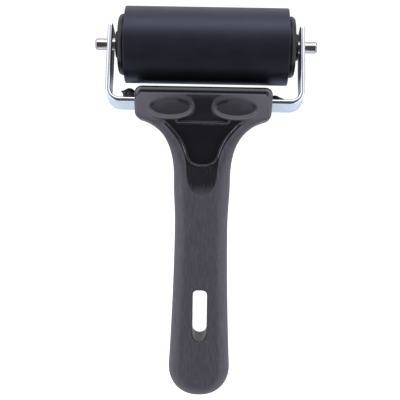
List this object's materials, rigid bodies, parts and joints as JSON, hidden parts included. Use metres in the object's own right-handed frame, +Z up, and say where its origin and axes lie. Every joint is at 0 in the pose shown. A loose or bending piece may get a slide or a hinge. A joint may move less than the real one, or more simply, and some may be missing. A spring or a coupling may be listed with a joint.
{
  "type": "rubber brayer",
  "caption": "Hand roller: a free-turning rubber cylinder in a bent steel fork, on a curved moulded handle with thumb rests, a hanging slot and a bench stand.",
  "frame": {"origin": "at bench level under the middle of the tool's bounding box, with the tool at rest on its stand and the end of its handle", "axes": "+Y from the handle to the roller, +X to the right along the axle, +Z up from the bench, thumb rests upward"},
  "size_m": [0.1368, 0.2428, 0.049],
  "materials": {
    "handle_plastic": "satin charcoal moulding with a fine lengthwise grain, glossy in the recess",
    "plated_strip": "bright zinc plate, faintly blue",
    "stand_plastic": "satin black moulding",
    "screw_steel": "zinc plated",
    "axle_steel": "bright turned steel",
    "washer_plastic": "black nylon",
    "sleeve_rubber": "ground soft rubber, blue-black, low sheen",
    "core_plastic": "plain extruded tube",
    "cap_plastic": "semi-gloss black moulding"
  },
  "bodies": {
    "frame": {"handle": "handle_plastic", "frame_strip": "plated_strip", "rest_stand": "stand_plastic", "stand_screws": "screw_steel", "axle": "axle_steel"},
    "washers": {"left_washer": "washer_plastic", "right_washer": "washer_plastic"},
    "roller": {"rubber_sleeve": "sleeve_rubber", "core_tube": "core_plastic", "left_end_cap": "cap_plastic", "right_end_cap": "cap_plastic"}
  },
  "joints": [
    {"name": "side_play", "type": "slide", "parent": "frame", "child": "washers", "axis": [1, 0, 0], "range_m": [-0.0015, 0.0007]},
    {"name": "roller_spin", "type": "hinge", "parent": "washers", "child": "roller", "pos_m": [0, 0.0977, 0.02525], "axis": [1, 0, 0], "continuous": true}
  ]
}
